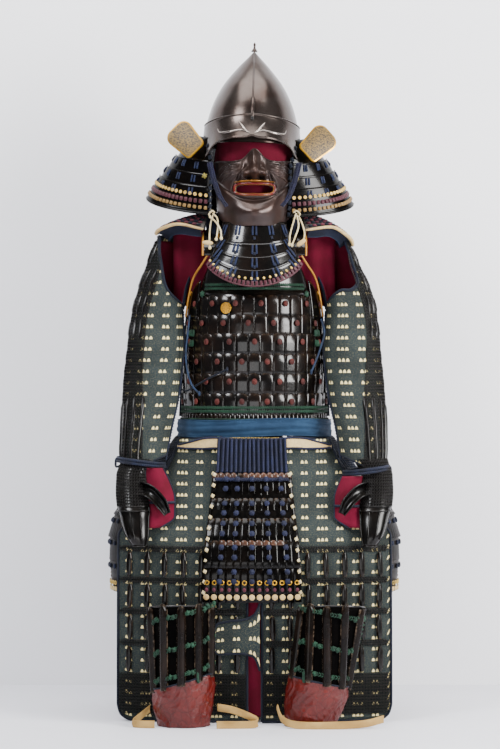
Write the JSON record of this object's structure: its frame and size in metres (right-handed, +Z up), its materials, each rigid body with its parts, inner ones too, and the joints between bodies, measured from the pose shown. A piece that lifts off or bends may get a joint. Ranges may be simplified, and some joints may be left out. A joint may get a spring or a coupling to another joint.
{
  "type": "samurai armour on its armour box and stand",
  "caption": "Laced plate armour with pointed helmet, half mask, cuirass, brocade sleeves, thigh guard and shin guards, set up on a plain box, post and head form",
  "frame": {"origin": "on the surface it stands on, under the middle of its overall box", "axes": "+Z up, -Y is the front of the armour, +X is on the right of someone facing it"},
  "size_m": [0.6814, 0.5996, 1.596],
  "materials": {
    "lacquer": "gloss black-brown lacquer on iron and rawhide plates",
    "iron": "polished dark russet iron",
    "mask_iron": "semi-gloss russet-brown lacquered iron with red lips",
    "brocade": "grey-teal brocade with small cream motifs",
    "crimson": "matt crimson cloth",
    "mail": "black-lacquered mail and narrow splints",
    "navy": "flat-braided dark blue silk",
    "sash_cloth": "blue cotton",
    "wing_cloth": "grey quilted cloth with a thick cream leather rim and laced plates",
    "gilt_leather": "gold-cream leather with small dark flecks",
    "cream_leather": "smooth cream leather",
    "red_leather": "crinkled brick-red leather",
    "tan_tape": "tan cotton tape",
    "wood": "plain dark wood"
  },
  "bodies": {
    "root": {"armour_stand": "wood", "head_form": "crimson", "yoke": "crimson", "thigh_lining": "crimson", "helmet_bowl": "iron", "helmet_rib": "iron", "brow_visor": "iron", "mask": "mask_iron", "neck_guard_upper": "lacquer", "neck_guard_rim": "lacquer", "throat_guard": "lacquer", "chest_plate": "lacquer", "cuirass_front": "lacquer", "cuirass_back": "lacquer", "front_tasset": "lacquer", "back_tasset_middle": "lacquer", "sash": "sash_cloth", "front_tasset_lacing": "navy", "cord_left": "navy", "cord_right": "navy", "cord_dark": "navy", "thigh_belt": "cream_leather", "thigh_flap": "brocade", "floor_tape_left": "tan_tape", "floor_tape_middle": "tan_tape", "floor_tape_right": "tan_tape", "ear_wing_left": "gilt_leather", "shoulder_strap_left": "lacquer", "armhole_guard_left": "lacquer", "hand_guard_left": "lacquer", "side_tasset_left": "lacquer", "back_tasset_left": "lacquer", "shin_guard_left": "lacquer", "shoulder_wing_left": "wing_cloth", "sleeve_left": "brocade", "thigh_cloth_left": "brocade", "sleeve_lining_left": "crimson", "palm_left": "crimson", "sleeve_splints_left": "mail", "thigh_splints_left": "mail", "wrist_tie_left": "navy", "mask_cord_left": "navy", "shin_leather_left": "red_leather", "ear_wing_right": "gilt_leather", "shoulder_strap_right": "lacquer", "armhole_guard_right": "lacquer", "hand_guard_right": "lacquer", "side_tasset_right": "lacquer", "back_tasset_right": "lacquer", "shin_guard_right": "lacquer", "shoulder_wing_right": "wing_cloth", "sleeve_right": "brocade", "thigh_cloth_right": "brocade", "sleeve_lining_right": "crimson", "palm_right": "crimson", "sleeve_splints_right": "mail", "thigh_splints_right": "mail", "wrist_tie_right": "navy", "mask_cord_right": "navy", "shin_leather_right": "red_leather"}
  },
  "joints": []
}
